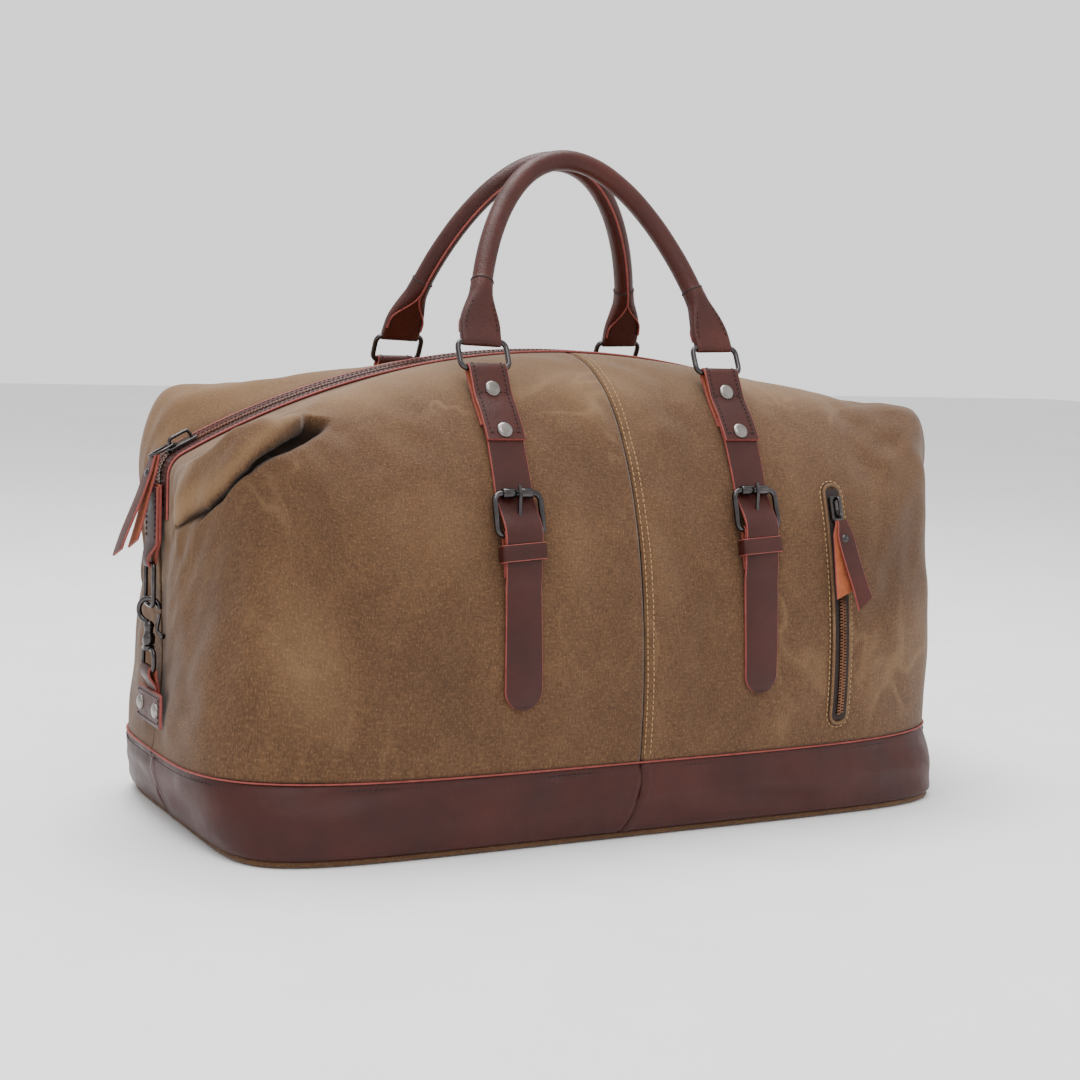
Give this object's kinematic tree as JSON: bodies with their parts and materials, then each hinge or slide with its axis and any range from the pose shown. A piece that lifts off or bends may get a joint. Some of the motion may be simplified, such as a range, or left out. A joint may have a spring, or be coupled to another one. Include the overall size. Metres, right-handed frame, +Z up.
{
  "type": "duffel bag",
  "caption": "Weekender duffel bag in waxed canvas on a leather base, with two rolled handles on rings, buckled straps, a zipped front pocket and snap hooks at the ends.",
  "frame": {"origin": "centre of the bottom panel's resting face, on the bag's two middle planes; the zip pull that hangs off the left end is not counted", "axes": "+X along the bag from the end with the zip pull to the other end, the buckled front faces -Y, +Z up"},
  "size_m": [0.5588, 0.2709, 0.4179],
  "materials": {
    "canvas": "waxed canvas, mottled khaki brown",
    "leather": "dark reddish brown, waxed, salmon edges",
    "steel": "gunmetal",
    "nickel": "satin nickel",
    "chain": "antique brass teeth on dark tape",
    "lining": "plain woven lining",
    "board": "stiff base board"
  },
  "bodies": {
    "bag": {"front_left_canvas": "canvas", "front_right_canvas": "canvas", "back_left_canvas": "canvas", "back_right_canvas": "canvas", "base_front_left": "leather", "base_front_right": "leather", "base_back_left": "leather", "base_back_right": "leather", "bottom_panel": "canvas", "base_board": "board", "lining": "lining", "pocket_pouch": "lining", "zip_facing_front": "leather", "zip_facing_back": "leather", "main_zipper": "chain", "pocket_zipper": "chain", "end_tab_left": "leather", "anchor_patch_left": "leather", "anchor_loop_left": "leather", "ring_strap_front_left": "leather", "ring_strap_back_left": "leather", "buckle_strap_left": "leather", "chape_left": "leather", "rivet_left_1": "nickel", "rivet_left_2": "nickel", "end_tab_right": "leather", "anchor_patch_right": "leather", "anchor_loop_right": "leather", "ring_strap_front_right": "leather", "ring_strap_back_right": "leather", "buckle_strap_right": "leather", "chape_right": "leather", "rivet_right_1": "nickel", "rivet_right_2": "nickel"},
    "front_rings": {"ring_front_left": "steel", "ring_front_right": "steel"},
    "back_rings": {"ring_back_left": "steel", "ring_back_right": "steel"},
    "front_handle": {"handle_front": "leather"},
    "back_handle": {"handle_back": "leather"},
    "main_slider": {"main_slider": "steel"},
    "main_pull": {"main_pull": "leather"},
    "pocket_slider": {"pocket_slider": "steel"},
    "pocket_pull": {"pocket_pull": "leather"},
    "buckle_frame_left": {"buckle_frame_left": "steel"},
    "roller_left": {"roller_left": "steel"},
    "prong_left": {"prong_left": "steel"},
    "keeper_left": {"keeper_left": "leather"},
    "end_ring_left": {"end_ring_left": "steel"},
    "snap_eye_left": {"snap_eye_left": "steel"},
    "snap_body_left": {"snap_body_left": "steel"},
    "snap_gate_left": {"snap_gate_left": "steel"},
    "buckle_frame_right": {"buckle_frame_right": "steel"},
    "roller_right": {"roller_right": "steel"},
    "prong_right": {"prong_right": "steel"},
    "keeper_right": {"keeper_right": "leather"},
    "end_ring_right": {"end_ring_right": "steel"},
    "snap_eye_right": {"snap_eye_right": "steel"},
    "snap_body_right": {"snap_body_right": "steel"},
    "snap_gate_right": {"snap_gate_right": "steel"}
  },
  "joints": [
    {"name": "front_rings_swing", "type": "hinge", "parent": "bag", "child": "front_rings", "pos_m": [0, -0.0672, 0.2796], "axis": [1, 0, 0], "range_deg": [0, 90]},
    {"name": "front_handle_swing", "type": "hinge", "parent": "front_rings", "child": "front_handle", "pos_m": [0, -0.0598, 0.2954], "axis": [1, 0, 0], "range_deg": [0, 80]},
    {"name": "back_rings_swing", "type": "hinge", "parent": "bag", "child": "back_rings", "pos_m": [0, 0.0672, 0.2796], "axis": [-1, 0, 0], "range_deg": [0, 90]},
    {"name": "back_handle_swing", "type": "hinge", "parent": "back_rings", "child": "back_handle", "pos_m": [0, 0.0598, 0.2954], "axis": [-1, 0, 0], "range_deg": [0, 80]},
    {"name": "main_slider_run", "type": "hinge", "parent": "bag", "child": "main_slider", "pos_m": [0, 0, -0.241], "axis": [0, 1, 0], "range_deg": [0, 56], "deforming": ["main_pull"]},
    {"name": "main_pull_swing", "type": "hinge", "parent": "main_slider", "child": "main_pull", "pos_m": [-0.26529, 0, 0.22307], "axis": [0, 1, 0], "range_deg": [-4, 110]},
    {"name": "pocket_slider_run", "type": "hinge", "parent": "bag", "child": "pocket_slider", "pos_m": [0.147, 0.24094, 0.08624], "axis": [1, 0, 0], "range_deg": [0, 17.8]},
    {"name": "pocket_pull_swing", "type": "hinge", "parent": "pocket_slider", "child": "pocket_pull", "pos_m": [0.147, -0.12064, 0.18757], "axis": [-1, 0, 0], "range_deg": [0, 120]},
    {"name": "buckle_frame_swing_left", "type": "hinge", "parent": "bag", "child": "buckle_frame_left", "pos_m": [-0.0835, -0.12024, 0.18482], "axis": [1, 0, 0], "range_deg": [0, 5]},
    {"name": "roller_spin_left", "type": "hinge", "parent": "buckle_frame_left", "child": "roller_left", "pos_m": [-0.0835, -0.11313, 0.20853], "axis": [1, 0, 0], "continuous": true},
    {"name": "prong_swing_left", "type": "hinge", "parent": "buckle_frame_left", "child": "prong_left", "pos_m": [-0.0835, -0.12024, 0.18482], "axis": [1, 0, 0], "range_deg": [0, 12]},
    {"name": "keeper_slide_left", "type": "slide", "parent": "bag", "child": "keeper_left", "axis": [0, 0.2372, 0.9715], "range_m": [-0.003, 0]},
    {"name": "end_ring_swing_left", "type": "hinge", "parent": "bag", "child": "end_ring_left", "pos_m": [-0.268, 0, 0.1585], "axis": [0, 1, 0], "range_deg": [-2, 2]},
    {"name": "snap_eye_swing_left", "type": "hinge", "parent": "bag", "child": "snap_eye_left", "pos_m": [-0.268, 0, 0.0945], "axis": [0, -1, 0], "range_deg": [-1.5, 1.5]},
    {"name": "snap_swivel_left", "type": "hinge", "parent": "snap_eye_left", "child": "snap_body_left", "pos_m": [-0.268, 0, 0.115], "axis": [0, 0, 1], "range_deg": [-10, 5]},
    {"name": "snap_gate_open_left", "type": "hinge", "parent": "snap_body_left", "child": "snap_gate_left", "pos_m": [-0.2644, -0.00429, 0.1188], "axis": [-0.766, -0.6428, 0], "range_deg": [0, 22], "stiffness_Nm_per_rad": 0.02, "springref_deg": -11.46},
    {"name": "buckle_frame_swing_right", "type": "hinge", "parent": "bag", "child": "buckle_frame_right", "pos_m": [0.0835, -0.12024, 0.18482], "axis": [1, 0, 0], "range_deg": [0, 5]},
    {"name": "roller_spin_right", "type": "hinge", "parent": "buckle_frame_right", "child": "roller_right", "pos_m": [0.0835, -0.11313, 0.20853], "axis": [1, 0, 0], "continuous": true},
    {"name": "prong_swing_right", "type": "hinge", "parent": "buckle_frame_right", "child": "prong_right", "pos_m": [0.0835, -0.12024, 0.18482], "axis": [1, 0, 0], "range_deg": [0, 12]},
    {"name": "keeper_slide_right", "type": "slide", "parent": "bag", "child": "keeper_right", "axis": [0, 0.2372, 0.9715], "range_m": [-0.003, 0]},
    {"name": "end_ring_swing_right", "type": "hinge", "parent": "bag", "child": "end_ring_right", "pos_m": [0.268, 0, 0.1585], "axis": [0, -1, 0], "range_deg": [-2, 2]},
    {"name": "snap_eye_swing_right", "type": "hinge", "parent": "bag", "child": "snap_eye_right", "pos_m": [0.268, 0, 0.0945], "axis": [0, 1, 0], "range_deg": [-1.5, 1.5]},
    {"name": "snap_swivel_right", "type": "hinge", "parent": "snap_eye_right", "child": "snap_body_right", "pos_m": [0.268, 0, 0.115], "axis": [0, 0, 1], "range_deg": [-10, 5]},
    {"name": "snap_gate_open_right", "type": "hinge", "parent": "snap_body_right", "child": "snap_gate_right", "pos_m": [0.2644, 0.00429, 0.1188], "axis": [0.766, 0.6428, 0], "range_deg": [0, 22], "stiffness_Nm_per_rad": 0.02, "springref_deg": -11.46}
  ]
}
